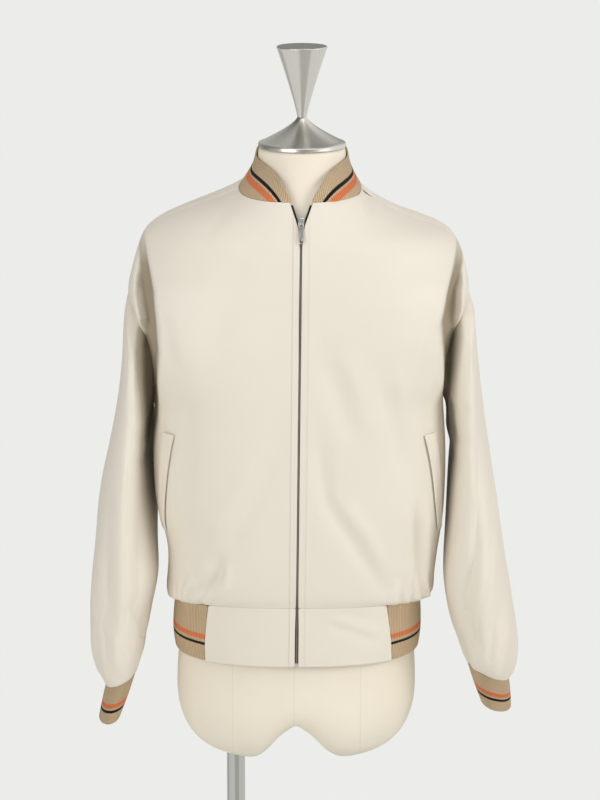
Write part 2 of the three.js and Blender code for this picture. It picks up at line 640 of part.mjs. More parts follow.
addMesh('zip_slider', fromManifold(toManifold(plate).add(toManifold(lug))), LOOKS.zipMetal, zipFrame);

// The pull hangs from its top bar, which lies low in the lug's window.
const pivot = { y: -windowEnd + PIVOT.fromPost, z: SLIDER.thick + PIVOT.up };
const rounded = new THREE.Shape();
const pullHalf = PULL.wide / 2;
rounded.moveTo(-pullHalf + PULL.corner, PULL.bar / 2);
rounded.lineTo(pullHalf - PULL.corner, PULL.bar / 2);
rounded.lineTo(pullHalf, -PULL.corner);
rounded.lineTo(pullHalf, -PULL.long + pullHalf);
rounded.absarc(0, -PULL.long + pullHalf, pullHalf, 0, -Math.PI, true);
rounded.lineTo(-pullHalf, -PULL.corner);
const slot = new THREE.Path([
  [-PULL.window / 2, -PULL.bar / 2], [-PULL.window / 2, -PULL.windowFar],
  [PULL.window / 2, -PULL.windowFar], [PULL.window / 2, -PULL.bar / 2],
].map(([x, y]) => new THREE.Vector2(x, y)));
const ringHole = new THREE.Path();
ringHole.absarc(0, -PULL.long + pullHalf, PULL.hole, 0, 2 * Math.PI, false);
rounded.holes.push(slot, ringHole);
const pull = new THREE.ExtrudeGeometry(rounded,
  { depth: PULL.thick, bevelEnabled: false, curveSegments: 8 });
pull.translate(0, pivot.y, pivot.z - PULL.thick / 2);
addMesh('zip_pull', pull, LOOKS.zipMetal, zipFrame);

// ---------------------------------------------------------------- dress form
function formRing(at) {
  return Array.from({ length: FORM_SIDES }, (_, k) => {
    const angle = (2 * Math.PI * k) / FORM_SIDES;
    const { across, along } = squircle(angle, read(FORM, 'square', at));
    const z = read(FORM, 'z', at);
    const wide = read(FORM, across < 0 ? 'right' : 'left', at);
    const deep = read(FORM, along > 0 ? 'front' : 'back', at);
    return new THREE.Vector3(leaning(across * wide, z), -along * deep, z);
  });
}

// Below the hips the form closes in two rounded thighs with a soft arch between them.
const LOBE_RINGS = 9;
function lobeRing(k) {
  const reach = Math.sin((Math.PI / 2) * (k / LOBE_RINGS));
  const middle = leaning(0, FORM_LOBE.hipZ);
  return formRing(0).map((edge) => {
    const [x, y] = [middle + reach * (edge.x - middle), reach * edge.y];
    const away = Math.min(1, Math.abs(x - middle) / FORM_LOBE.archHalf);
    const full = lerp(FORM_LOBE.crotch, FORM_LOBE.depth, (1 - Math.cos(Math.PI * away)) / 2);
    const dome = Math.sqrt(1 - reach ** FORM_LOBE.squareness);
    return new THREE.Vector3(x, y, FORM_LOBE.hipZ - full * dome);
  });
}
const formLowest = Math.min(
  ...Array.from({ length: LOBE_RINGS }, (_, k) => lobeRing(k)).flat().map((p) => p.z));

function formSolid() {
  const rings = [];
  for (let k = 1; k < LOBE_RINGS; k += 1) rings.push(lobeRing(k));
  for (let at = 0; at < FORM.length - 1; at += 1) rings.push(formRing(at));
  rings.push(formRing(FORM.length - 1));
  const bottom = lobeRing(0)[0];
  const topRing = rings[rings.length - 1];
  const top = new THREE.Vector3(0, 0, topRing[0].z);
  const points = [...rings.flat(), bottom, top];
  const faces = [];
  const last = rings.length - 1;
  const at = (i, j) => i * FORM_SIDES + (j % FORM_SIDES);
  for (let j = 0; j < FORM_SIDES; j += 1) {
    faces.push(at(0, j), points.length - 2, at(0, j + 1));
    faces.push(at(last, j + 1), points.length - 1, at(last, j));
    for (let i = 0; i < last; i += 1) {
      faces.push(at(i, j), at(i, j + 1), at(i + 1, j + 1), at(i, j), at(i + 1, j + 1), at(i + 1, j));
    }
  }
  return facingOut(points, faces);
}
addMesh('form_torso', formSolid(), LOOKS.form);

// ---------------------------------------------------------------- steel parts of the form
const LATHE_SIDES = 32;
function turned(profile) {
  const geometry = new THREE.LatheGeometry(
    profile.map(([r, z]) => new THREE.Vector2(r, z)), LATHE_SIDES);
  geometry.rotateX(Math.PI / 2);
  return geometry;
}

// Radius of a flaring cone between its waist and its rim.
const flare = (from, to, t, power) => lerp(from, to, t ** power);
const FLARE_STEPS = 6;
const rimTop = CAP.z + CAP.rimTall;
const capProfile = [[0, CAP.z], [CAP.rimRadius, CAP.z], [CAP.rimRadius, rimTop]];
for (let k = 1; k <= FLARE_STEPS; k += 1) {
  const t = k / FLARE_STEPS;
  capProfile.push([
    flare(CAP.waistRadius, CAP.rimRadius - CAP.step, 1 - t, CAP.flare),
    lerp(rimTop, CAP.waistZ, t)]);
}
capProfile.push([0, CAP.waistZ]);
addMesh('neck_cap', turned(capProfile), LOOKS.steel);

const handleFoot = CAP.waistZ + SEAM_GAP;
const handleProfile = [[0, handleFoot]];
for (let k = 0; k <= FLARE_STEPS; k += 1) {
  const t = k / FLARE_STEPS;
  handleProfile.push([
    flare(CAP.waistRadius, FINIAL.topRadius, t, FINIAL.flare),
    lerp(handleFoot, FINIAL.topZ - FINIAL.rimTall, t)]);
}
handleProfile.push([FINIAL.topRadius, FINIAL.topZ], [0, FINIAL.topZ]);
addMesh('finial', turned(handleProfile), LOOKS.steel);

const poleTop = formLowest - SEAM_GAP;
const poleFoot = BASE.thick + SEAM_GAP;
const pole = addMesh('pole',
  turned([[0, poleFoot], [POLE.radius, poleFoot], [POLE.radius, poleTop], [0, poleTop]]),
  LOOKS.pole);
pole.position.x = POLE.x;

addMesh('base_plate', turned([
  [0, 0], [BASE.radius - BASE.edge / 3, 0], [BASE.radius, BASE.edge / 3],
  [BASE.radius, BASE.thick - BASE.edge], [BASE.radius - BASE.edge, BASE.thick], [0, BASE.thick],
]), LOOKS.pole);

export default group;
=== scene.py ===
"""Looks for a cream monkey jacket with striped tan ribs, on an ivory dress form with steel fittings."""
import json
import math

import bmesh
import bpy
import numpy as np
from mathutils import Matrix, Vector, noise

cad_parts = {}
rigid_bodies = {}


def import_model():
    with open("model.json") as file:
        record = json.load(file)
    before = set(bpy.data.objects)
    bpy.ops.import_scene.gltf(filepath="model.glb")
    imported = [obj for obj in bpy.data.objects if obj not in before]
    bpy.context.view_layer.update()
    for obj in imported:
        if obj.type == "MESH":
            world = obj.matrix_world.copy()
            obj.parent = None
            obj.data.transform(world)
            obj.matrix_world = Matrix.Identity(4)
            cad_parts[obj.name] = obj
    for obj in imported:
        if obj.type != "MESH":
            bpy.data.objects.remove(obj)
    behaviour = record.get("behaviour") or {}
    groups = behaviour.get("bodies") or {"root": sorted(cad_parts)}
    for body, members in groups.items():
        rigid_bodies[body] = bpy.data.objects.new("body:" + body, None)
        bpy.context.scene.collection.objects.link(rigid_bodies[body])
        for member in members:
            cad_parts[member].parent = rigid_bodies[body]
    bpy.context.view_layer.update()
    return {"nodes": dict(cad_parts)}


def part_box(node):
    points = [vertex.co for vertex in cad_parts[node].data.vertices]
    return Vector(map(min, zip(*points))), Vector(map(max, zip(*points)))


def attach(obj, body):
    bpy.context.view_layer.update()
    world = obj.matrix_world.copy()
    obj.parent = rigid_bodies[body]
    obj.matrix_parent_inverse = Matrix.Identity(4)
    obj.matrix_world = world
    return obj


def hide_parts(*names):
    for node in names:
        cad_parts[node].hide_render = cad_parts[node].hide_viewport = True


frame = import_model()
NODES = frame["nodes"]

# ------------------------------------------------------------------ sizes, in metres
TARGET = Vector((-0.0025, 0.0, 0.930))   # the point that the camera looks at
DISTANCE = 4.256
ELEVATION = math.radians(13.5)
LENS, SENSOR = 144.0, 36.0

ORANGE_BAND = (0.6270, 0.6336)           # heights of the stripes round the hem rib
BLACK_BAND = (0.6188, 0.6226)
LEAN = 0.0107                            # the figure leans towards -X below its neck
PLUMB_Z = 1.270
EDGE_ANGLE = math.radians(48)            # edges sharper than this stay crisp when smoothed
EDGE_FIRM = 0.9
HEM_SEAM = 0.664                         # lowest and highest points of the body's cloth
NECK_SEAM = 1.232
EDGE_STRIP = 0.0105                      # from the centre line to the stitched fold of the front edge
FAINT_LINE = 0.0225                      # from the centre line to the second row of stitches


def srgb(red, green, blue):
    """Linear colour from 0-255 display values."""
    def one(value):
        value /= 255.0
        return value / 12.92 if value <= 0.04045 else ((value + 0.055) / 1.055) ** 2.4
    return (one(red), one(green), one(blue), 1.0)


def lerp(a, b, t):
    return a + (b - a) * t


def ease(values):
    """0 to 1 with a soft start and end, for a number or an array."""
    values = np.clip(values, 0.0, 1.0)
    return values * values * (3.0 - 2.0 * values)


def centre_x(z):
    """The jacket's centre line leans with the figure."""
    return -LEAN * (PLUMB_Z - z)


# ------------------------------------------------------------------ materials
class Nodes:
    """Short helper for building a node material."""

    def __init__(self, name):
        self.material = bpy.data.materials.new(name)
        self.material.use_nodes = True
        self.tree = self.material.node_tree
        self.shader = self.tree.nodes["Principled BSDF"]

    def add(self, kind, **values):
        node = self.tree.nodes.new(kind)
        for key, value in values.items():
            if key in node.inputs:
                node.inputs[key].default_value = value
            else:
                setattr(node, key, value)
        return node

    def link(self, source, target):
        self.tree.links.new(source, target)

    def set(self, **values):
        for key, value in values.items():
            self.shader.inputs[key.replace("_", " ")].default_value = value

    def noise(self, scale, detail=3.0, coords=None):
        node = self.add("ShaderNodeTexNoise", Scale=scale, Detail=detail)
        self.link(coords or self.objects(), node.inputs["Vector"])
        return node.outputs["Fac"]

    def objects(self):
        return self.add("ShaderNodeTexCoord").outputs["Object"]

    def uv(self):
        return self.add("ShaderNodeTexCoord").outputs["UV"]

    def split(self, vector):
        node = self.add("ShaderNodeSeparateXYZ")
        self.link(vector, node.inputs[0])
        return node.outputs

    def math(self, operation, a, b=None, clamp=False):
        node = self.add("ShaderNodeMath", operation=operation, use_clamp=clamp)
        for socket, value in zip(node.inputs, (a, b)):
            if value is None:
                continue
            if isinstance(value, (int, float)):
                socket.default_value = value
            else:
                self.link(value, socket)
        return node.outputs[0]

    def mix(self, factor, first, second):
        node = self.add("ShaderNodeMix", data_type="RGBA")
        for socket, value in ((node.inputs[0], factor), (node.inputs[6], first), (node.inputs[7], second)):
            if isinstance(value, (tuple, float, int)):
                socket.default_value = value
            else:
                self.link(value, socket)
        return node.outputs[2]

    def band(self, value, low, high, soft):
        """1 between low and high, falling off over soft."""
        rise = self.add("ShaderNodeMapRange")
        rise.inputs["From Min"].default_value = low - soft
        rise.inputs["From Max"].default_value = low + soft
        self.link(value, rise.inputs["Value"])
        fall = self.add("ShaderNodeMapRange")
        fall.inputs["From Min"].default_value = high + soft
        fall.inputs["From Max"].default_value = high - soft
        self.link(value, fall.inputs["Value"])
        return self.math("MULTIPLY", rise.outputs[0], fall.outputs[0], clamp=True)

    def bump(self, height, distance, strength=1.0, after=None):
        node = self.add("ShaderNodeBump", Strength=strength, Distance=distance)
        self.link(height, node.inputs["Height"])
        if after:
            self.link(after, node.inputs["Normal"])
        self.link(node.outputs[0], self.shader.inputs["Normal"])
        return node.outputs[0]


def wave(nodes, vector, scale, direction):
    node = nodes.add("ShaderNodeTexWave", wave_type="BANDS", bands_direction=direction,
                     Scale=scale, Distortion=0.0)
    nodes.link(vector, node.inputs["Vector"])
    return node.outputs["Fac"]


CREAM = srgb(238, 230, 217)
CREAM_DEEP = srgb(232, 223, 208)
STITCHED = srgb(178, 166, 148)
# painted shade: the brown towards which the fold between chest and arm is darkened
FOLD_PAINTED_SHADE = srgb(152, 138, 114)
SHADE_SPAN, SHADE_SOFT = (0.10, 0.92), 0.12   # shares of the way from the chest edge to the arm edge
FULL_SHADE = 0.025                            # the fold's depth where its shade is full
SHADE_STRENGTH = 0.85
THREADS = 420.0                               # scale of the weave's waves
STITCH_PITCH = 0.0026
WALE_PITCH, LOOP_PITCH = 0.0026, 0.0018       # across and along the knit
VALLEYS = {  # by side: height, chest edge, arm edge and depth of the fold where the arm meets the chest
    -1: [(0.835, 0.197, 0.209, 0.000), (0.882, 0.194, 0.208, 0.020), (0.922, 0.188, 0.207, 0.034),
         (0.969, 0.187, 0.209, 0.040), (1.015, 0.184, 0.208, 0.040), (1.058, 0.187, 0.203, 0.034),
         (1.093, 0.190, 0.211, 0.034), (1.125, 0.197, 0.213, 0.024), (1.168, 0.206, 0.216, 0.000)],
    1: [(0.835, 0.191, 0.198, 0.000), (0.882, 0.190, 0.197, 0.018), (0.928, 0.1865, 0.1945, 0.030),
        (0.988, 0.1835, 0.1975, 0.038), (1.028, 0.1805, 0.2005, 0.040), (1.055, 0.1786, 0.1995, 0.036),
        (1.089, 0.1855, 0.202, 0.034), (1.121, 0.1945, 0.211, 0.024), (1.168, 0.205, 0.213, 0.000)],
}


def broken_line(n, height, rows, column):
    """Straight runs between the rows' heights, level beyond their ends."""
    total = rows[0][column]
    for low, high in zip(rows, rows[1:]):
        span = high[0] - low[0]
        risen = n.math("MINIMUM", n.math("MAXIMUM", n.math("SUBTRACT", height, low[0]), 0.0), span)
        total = n.math("ADD", n.math("MULTIPLY", risen, (high[column] - low[column]) / span), total)
    return total


def painted_fold_shade(n, coords):
    """How much painted shade a place gets in the fold between chest and arm, from 0 to 1, by how deep in the
    fold it lies.
    """
    x, y, z = n.split(coords)
    front = n.math("LESS_THAN", y, 0.0)
    shade = None
    for side, rows in VALLEYS.items():
        inner, outer = broken_line(n, z, rows, 1), broken_line(n, z, rows, 2)
        run = n.math("SUBTRACT", n.math("MULTIPLY", x, float(side)), inner)
        share = n.math("DIVIDE", run, n.math("SUBTRACT", outer, inner))
        across = n.band(share, *SHADE_SPAN, SHADE_SOFT)
        deep = n.math("MINIMUM", n.math("MULTIPLY", broken_line(n, z, rows, 3), 1.0 / FULL_SHADE), 1.0)
        here = n.math("MULTIPLY", n.math("MULTIPLY", across, deep), front)
        shade = here if shade is None else n.math("MAXIMUM", shade, here)
    return shade


def sewn_edge(n, coords, after):
    """The front edge's stitched fold and faint second row, as relief; gives the fold's groove."""
    x, _, z = n.split(coords)
    lean = n.math("MULTIPLY", n.math("SUBTRACT", PLUMB_Z, z), LEAN)
    away = n.math("ABSOLUTE", n.math("ADD", x, lean))
    groove = n.band(away, EDGE_STRIP - 0.0002, EDGE_STRIP + 0.0002, 0.0010)
    raised = n.band(away, -1.0, EDGE_STRIP, 0.0008)
    stitch = n.math("SINE", n.math("MULTIPLY", z, 2.0 * math.pi / STITCH_PITCH))
    row = n.band(away, FAINT_LINE, FAINT_LINE, 0.0006)
    sewn = n.math("MULTIPLY", row, n.math("MULTIPLY", stitch, 0.3))
    relief = n.math("ADD", n.math("SUBTRACT", n.math("MULTIPLY", raised, 0.6), groove), sewn)
    n.bump(relief, 0.0010, 0.8, after=after)
    return groove


def shell_cloth(name, front_edge=False):
    """Close plain weave: fine threads both ways, a faint slub, a soft sheen, and painted shade darkening the
    fold between chest and arm.
    """
    n = Nodes(name)
    coords = n.objects()
    colour = n.mix(n.noise(9.0, 4.0, coords), CREAM_DEEP, CREAM)
    threads = n.math("MAXIMUM", wave(n, coords, THREADS, "X"), wave(n, coords, THREADS, "Z"))
    slub = n.noise(160.0, 3.0, coords)
    woven = n.bump(threads, 0.00012, 0.35)
    woven = n.bump(slub, 0.0002, 0.35, after=woven)
    if front_edge:
        groove = sewn_edge(n, coords, woven)
        colour = n.mix(n.math("MULTIPLY", groove, 0.30), colour, STITCHED)
    # painted shade: the cloth turns brown deep in the fold between chest and arm
    shade = n.math("MULTIPLY", painted_fold_shade(n, coords), SHADE_STRENGTH)
    n.link(n.mix(shade, colour, FOLD_PAINTED_SHADE), n.shader.inputs["Base Color"])
    n.set(Roughness=0.82, Sheen_Weight=0.12, Sheen_Roughness=0.4, Specular_IOR_Level=0.25)
    return n.material


# painted shade: the near black mixed into the dips between the wales
WALE_DIP_PAINTED_SHADE = (0.02, 0.015, 0.01, 1.0)


def rib_knit(name, tan, stripes):
    """Rib knit: wales along V, pitch from U in metres, with painted shade in the dips between them; stripes
    are (low, high, colour) in V.
    """
    n = Nodes(name)
    u, v, _ = n.split(n.uv())
    fuzz = n.noise(700.0, 2.0)
    colour = n.mix(n.noise(55.0, 3.0), tan, tuple(0.86 * c for c in tan[:3]) + (1.0,))
    edge = n.math("ADD", v, n.math("MULTIPLY", n.math("SUBTRACT", fuzz, 0.5), 0.0012))
    for low, high, ink in stripes:
        colour = n.mix(n.band(edge, low, high, 0.0004), colour, ink)
    wales = n.math("SINE", n.math("MULTIPLY", u, 2.0 * math.pi / WALE_PITCH))
    # painted shade: the dips between wales are darkened, most where the wave is lowest
    wale_dip_shade = n.math("MULTIPLY", n.math("SUBTRACT", 1.0, wales), 0.16)
    n.link(n.mix(wale_dip_shade, colour, WALE_DIP_PAINTED_SHADE), n.shader.inputs["Base Color"])
    loops = n.math("SINE", n.math("MULTIPLY", v, 2.0 * math.pi / LOOP_PITCH))
    first = n.bump(wales, 0.0006, 0.9)
    n.bump(n.math("ADD", n.math("MULTIPLY", loops, 0.4), fuzz), 0.0002, 0.5, after=first)
    n.set(Roughness=0.95, Sheen_Weight=0.05, Sheen_Roughness=0.6, Specular_IOR_Level=0.15)
    return n.material


def plain(name, colour, roughness, metallic=0.0):
    """One colour with a fine grain."""
    n = Nodes(name)
    darker = tuple(0.9 * c for c in colour[:3]) + (1.0,)
    n.link(n.mix(n.noise(30.0), darker, colour), n.shader.inputs["Base Color"])
    n.bump(n.noise(400.0), 0.0001, 0.5)
    n.set(Roughness=roughness, Metallic=metallic)
    return n.material


FORM_SEAMS, SEAMS_TOP = (-0.092, -0.010, 0.078), 0.9


def form_cover():
    """Ivory jersey drawn tight over the form, with faint seams down the princess lines."""
    n = Nodes("form_cover")
    coords = n.objects()
    x, y, z = n.split(coords)
    colour = n.mix(n.noise(14.0, 4.0, coords), srgb(240, 228, 208), srgb(246, 237, 220))
    front = n.math("LESS_THAN", y, 0.0)
    low = n.math("LESS_THAN", z, SEAMS_TOP)
    for line in FORM_SEAMS:
        seam = n.band(x, line - 0.0004, line + 0.0004, 0.0006)
        seam = n.math("MULTIPLY", n.math("MULTIPLY", seam, front), n.math("MULTIPLY", low, 0.25))
        colour = n.mix(seam, colour, srgb(196, 178, 150))
    n.link(colour, n.shader.inputs["Base Color"])
    n.bump(n.noise(900.0, 2.0, coords), 0.0002, 0.4)
    n.set(Roughness=0.75, Sheen_Weight=0.1)
    return n.material


# painted reflections: dark bands on the steel where the surface faces given ways
PAINTED_DARK_REFLECTIONS = ((-0.92, -0.76, 0.45), (-0.10, 0.34, 0.35))  # span of the normal's X, and strength


def spun_steel(name, colour, roughness):
    """Steel with fine turning marks round the Z axis and painted dark reflections down it, set by which way
    the surface faces.
    """
    n = Nodes(name)
    coords = n.objects()
    _, _, z = n.split(coords)
    rings = n.add("ShaderNodeTexNoise", Scale=1.0, Detail=2.0)
    stretched = n.add("ShaderNodeCombineXYZ")
    n.link(n.math("MULTIPLY", z, 2600.0), stretched.inputs[2])
    n.link(stretched.outputs[0], rings.inputs["Vector"])
    darker = tuple(0.82 * c for c in colour[:3]) + (1.0,)
    turned_and_reflected = n.mix(rings.outputs["Fac"], darker, colour)
    facing, _, _ = n.split(n.add("ShaderNodeNewGeometry").outputs["Normal"])
    # painted reflections: darker where the normal's X falls in each span
    for low, high, strength in PAINTED_DARK_REFLECTIONS:
        dark_reflection = n.math("MULTIPLY", n.band(facing, low, high, 0.06), strength)
        turned_and_reflected = n.mix(dark_reflection, turned_and_reflected, srgb(96, 94, 88))
    n.link(turned_and_reflected, n.shader.inputs["Base Color"])
    rough = n.math("ADD", n.math("MULTIPLY", n.noise(20.0), 0.1), roughness)
    n.link(rough, n.shader.inputs["Roughness"])
    n.bump(rings.outputs["Fac"], 0.00005, 0.3)
    n.set(Metallic=1.0)
    return n.material


TAN = srgb(230, 201, 163)
ORANGE = srgb(250, 138, 88)
BLACK = srgb(16, 9, 6)
SHELL = shell_cloth("shell_cloth")
SHELL_FRONT = shell_cloth("shell_front", front_edge=True)
HEM_RIB = rib_knit("rib_hem", TAN, [(*ORANGE_BAND, ORANGE), (*BLACK_BAND, BLACK)])
CUFF_RIB = rib_knit("rib_cuff", TAN, [(0.0235, 0.0295, ORANGE), (0.0165, 0.0205, BLACK)])
COLLAR_RIB = rib_knit("rib_collar", TAN, [(-0.0330, -0.0255, ORANGE), (-0.0230, -0.0185, BLACK)])
ZIP_DARK = plain("zip_dark", srgb(44, 34, 26), 0.7)
ZIP_METAL = plain("zip_metal", srgb(205, 205, 202), 0.25, metallic=1.0)
FORM = form_cover()
STEEL = spun_steel("steel_spun", srgb(226, 223, 215), 0.24)
STAND = spun_steel("steel_stand", srgb(205, 204, 200), 0.22)
TOOTH = plain("zip_tooth", srgb(150, 142, 130), 0.45)


# ------------------------------------------------------------------ making pieces from the frame
def welded(node):
    """A bmesh of a node's faceted solid with its quads put back together."""
    mesh = bmesh.new()
    mesh.from_mesh(NODES[node].data)
    bmesh.ops.remove_doubles(mesh, verts=mesh.verts, dist=1e-6)
    bmesh.ops.join_triangles(mesh, faces=mesh.faces, angle_face_threshold=math.radians(60),
                             angle_shape_threshold=math.radians(60))
    firm = mesh.edges.layers.float.new("crease_edge")
    for edge in mesh.edges:
        if len(edge.link_faces) == 2 and edge.calc_face_angle(0.0) > EDGE_ANGLE:
            edge[firm] = EDGE_FIRM
    return mesh


def to_object(mesh, name):
    data = bpy.data.meshes.new(name)
    mesh.to_mesh(data)
    mesh.free()
    data.shade_smooth()
    piece = bpy.data.objects.new(name, data)
    bpy.context.scene.collection.objects.link(piece)
    return piece


def subdivided(piece, levels):
    """Applies a Catmull-Clark subdivision."""
    modifier = piece.modifiers.new("smooth", "SUBSURF")
    modifier.levels = modifier.render_levels = levels
    graph = bpy.context.evaluated_depsgraph_get()
    data = bpy.data.meshes.new_from_object(piece.evaluated_get(graph))
    piece.modifiers.clear()
    piece.data = data
    data.shade_smooth()
    return piece


def finish_piece(piece, material, node, slot, body="root"):
    piece.data.materials.clear()
    piece.data.materials.append(material)
    if node:
        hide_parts(node)
    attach(piece, body)
    return piece


def soft(node, levels, material, slot, shape=None, name=None):
    """A fine smooth copy of a node's solid, its points moved by shape(point, normal)."""
    piece = subdivided(to_object(welded(node), name or node + "_cloth"), levels)
    if shape:
        data = piece.data
        points = np.empty(3 * len(data.vertices))
        normals = points.copy()
        data.vertices.foreach_get("co", points)
        data.vertices.foreach_get("normal", normals)
        points, normals = points.reshape(-1, 3), normals.reshape(-1, 3)
        data.vertices.foreach_set("co", (points + shape(points, normals)).ravel())
        data.update()
    return finish_piece(piece, material, node, slot)


# ------------------------------------------------------------------ creases
FOLD_FADE, FOLD_END = 0.25, 0.25   # share of a fold over which it dies away, and what is left there


def fold(points, line, width, deep):
    """How far a soft fold along a line of (x, z) places moves each point; deep > 0 is a trough."""
    place = points[:, (0, 2)]
    corners = np.array(line)
    steps = np.linalg.norm(np.diff(corners, axis=0), axis=1)
    whole = steps.sum()
    nearest = np.full(len(place), 1.0)
    share = np.zeros(len(place))
    gone = 0.0
    for start, end, step in zip(corners, corners[1:], steps):
        along = (end - start) / step
        t = np.clip((place - start) @ along, 0.0, step)
        away = np.linalg.norm(place - start - t[:, None] * along, axis=1)
        closer = away < nearest
        nearest = np.where(closer, away, nearest)
        share = np.where(closer, (gone + t) / whole, share)
        gone += step
    ends = lerp(FOLD_END, 1.0, ease(np.minimum(share, 1.0 - share) / FOLD_FADE))
    return -deep * ends * np.exp(-(nearest / width) ** 2)


def wander(points, scale, seed=0.0):
    """Smooth noise at each point."""
    shift = Vector((seed, 0.0, 0.0))
    return np.array([noise.noise(Vector(p) * scale + shift) for p in points])


FRONT_FOLDS = [  # line, width, depth
    ([(-0.030, 0.890), (-0.072, 0.812), (-0.109, 0.747)], 0.017, 0.0040),
    ([(-0.052, 0.890), (-0.092, 0.822), (-0.128, 0.760)], 0.014, -0.0030),
    ([(-0.107, 0.752), (-0.112, 0.716), (-0.138, 0.688)], 0.0065, 0.0062),
    ([(-0.094, 0.742), (-0.100, 0.706), (-0.118, 0.690)], 0.0070, -0.0040),
    ([(-0.126, 0.742), (-0.134, 0.712), (-0.152, 0.690)], 0.0070, -0.0035),
    ([(-0.155, 0.980), (-0.150, 0.900), (-0.156, 0.800)], 0.014, 0.0030),
    ([(-0.064, 1.150), (-0.104, 1.080), (-0.120, 0.990)], 0.022, 0.0028),
    ([(0.027, 1.026), (0.049, 0.965), (0.070, 0.902)], 0.017, 0.0034),
    ([(0.050, 1.030), (0.072, 0.970), (0.090, 0.905)], 0.014, -0.0022),
    ([(0.104, 0.994), (0.128, 0.885), (0.141, 0.839)], 0.013, 0.0040),
    ([(0.121, 1.000), (0.146, 0.900)], 0.011, -0.0025),
    ([(0.021, 0.930), (0.031, 0.825), (0.070, 0.765), (0.101, 0.711), (0.124, 0.688)], 0.011, 0.0045),
    ([(0.046, 0.830), (0.086, 0.775), (0.114, 0.716)], 0.010, -0.0034),
    ([(0.152, 0.815), (0.152, 0.690)], 0.0055, 0.0068),
    ([(0.142, 0.812), (0.141, 0.692)], 0.0060, -0.0040),
    ([(0.163, 0.812), (0.164, 0.692)], 0.0060, -0.0035),
    ([(0.128, 0.722), (0.130, 0.690)], 0.0045, 0.0040),
    ([(0.030, 1.205), (0.079, 1.226)], 0.0050, 0.0022),
    ([(0.083, 1.224), (0.092, 1.187)], 0.0055, 0.0035),
    ([(0.092, 1.226), (0.121, 1.193)], 0.0070, 0.0032),
    ([(0.074, 1.216), (0.080, 1.180)], 0.0060, -0.0020),
    ([(-0.085, 1.212), (-0.130, 1.165)], 0.0090, 0.0024),
    ([(0.176, 1.070), (0.158, 0.960)], 0.012, 0.0035),
    ([(-0.182, 1.075), (-0.166, 0.985)], 0.012, 0.0030),
]
BACK_FOLDS = [
    ([(-0.060, 0.990), (-0.100, 0.900), (-0.130, 0.790)], 0.018, 0.0045),
    ([(-0.082, 0.985), (-0.122, 0.890)], 0.014, -0.0028),
    ([(0.070, 0.950), (0.104, 0.860), (0.125, 0.770)], 0.016, 0.0045),
    ([(-0.015, 0.840), (-0.035, 0.760), (-0.060, 0.700)], 0.010, 0.0040),
    ([(0.030, 0.810), (0.052, 0.745), (0.064, 0.695)], 0.009, 0.0045),
    ([(-0.150, 1.080), (-0.168, 0.990), (-0.166, 0.900)], 0.013, 0.0042),
    ([(0.150, 1.080), (0.166, 0.990), (0.166, 0.910)], 0.013, 0.0038),
    ([(-0.085, 1.185), (-0.020, 1.168), (0.080, 1.180)], 0.010, 0.0026),
    ([(-0.095, 0.745), (-0.104, 0.690)], 0.0055, 0.0045),
    ([(0.098, 0.740), (0.104, 0.690)], 0.0055, 0.0045),
    ([(0.004, 0.735), (0.002, 0.690)], 0.0050, 0.0040),
]


FRONT_SPANS = ((-0.21, -0.122), (0.112, 0.21))   # where the hem is gathered, from x to x
BACK_SPANS = ((-0.25, 0.25),)
VALLEY_BACK = 0.6                                # depth behind as a share of the depth in front
HALF_DEPTH = 0.085                               # from the middle of the body to where a fold is full


def valley(points):
    """The deep fold between chest and arm, and a shallower one behind."""
    x, y, z = points.T
    push = np.zeros(len(x))
    for side, rows in VALLEYS.items():
        heights, chest, arm, deep = np.array(rows).T
        inner, outer = np.interp(z, heights, chest), np.interp(z, heights, arm)
        across = ease((side * x - inner + 0.001) / 0.007) * ease((outer + 0.010 - side * x) / 0.015)
        push += np.interp(z, heights, deep) * across
    push *= ease(-y / HALF_DEPTH) - VALLEY_BACK * ease(y / HALF_DEPTH)
    return np.stack([0 * y, push, 0 * y], axis=1)


GATHERS = ((0.122, 0.25, 0.05), (0.135, 0.10, 0.06), (0.148, 0.0, 0.07), (0.161, -0.10, 0.05),
           (-0.138, 0.50, 0.08), (-0.151, 0.15, 0.04))  # place, lean and reach up from GATHER_FOOT
GATHER_FOOT = HEM_SEAM + 0.020
GATHER_WIDE, GATHER_HIGH = 0.0045, 0.0075


def gathers(points):
    """Small sharp ridges where the front is gathered into the hem rib."""
    x, y, z = points.T
    push = np.zeros(len(x))
    for place, lean, reach in GATHERS:
        off = (x - place - lean * (z - GATHER_FOOT)) / GATHER_WIDE
        push += GATHER_HIGH * np.exp(-off * off) * ease((GATHER_FOOT + reach - z) / reach)
    return push * ease((z - HEM_SEAM - 0.006) / 0.008) * (y < 0)


DRAWN_LEFT, DRAWN_RIGHT = 0.007, 0.003
DRAWN_FROM, DRAWN_TO = 0.86, 1.0
ARM_MIDDLE = 0.235


def drawn_in(points):
    """The inner run of each sleeve lies close along the body's side."""
    x, y, z = points.T
    side = np.sign(x)
    reach = np.where(side > 0, DRAWN_LEFT, DRAWN_RIGHT)
    height = ease((z - DRAWN_FROM) / 0.03) * ease((DRAWN_TO - z) / 0.03)
    inward = reach * height * ease((y + 0.03) / 0.03) * ease((ARM_MIDDLE - side * x) / 0.02)
    return np.stack([-side * inward, 0 * y, 0 * z], axis=1)


PLEAT_DEEP, PLEAT_PITCH, BODY_RADIUS = 0.0030, 0.0125, 0.165


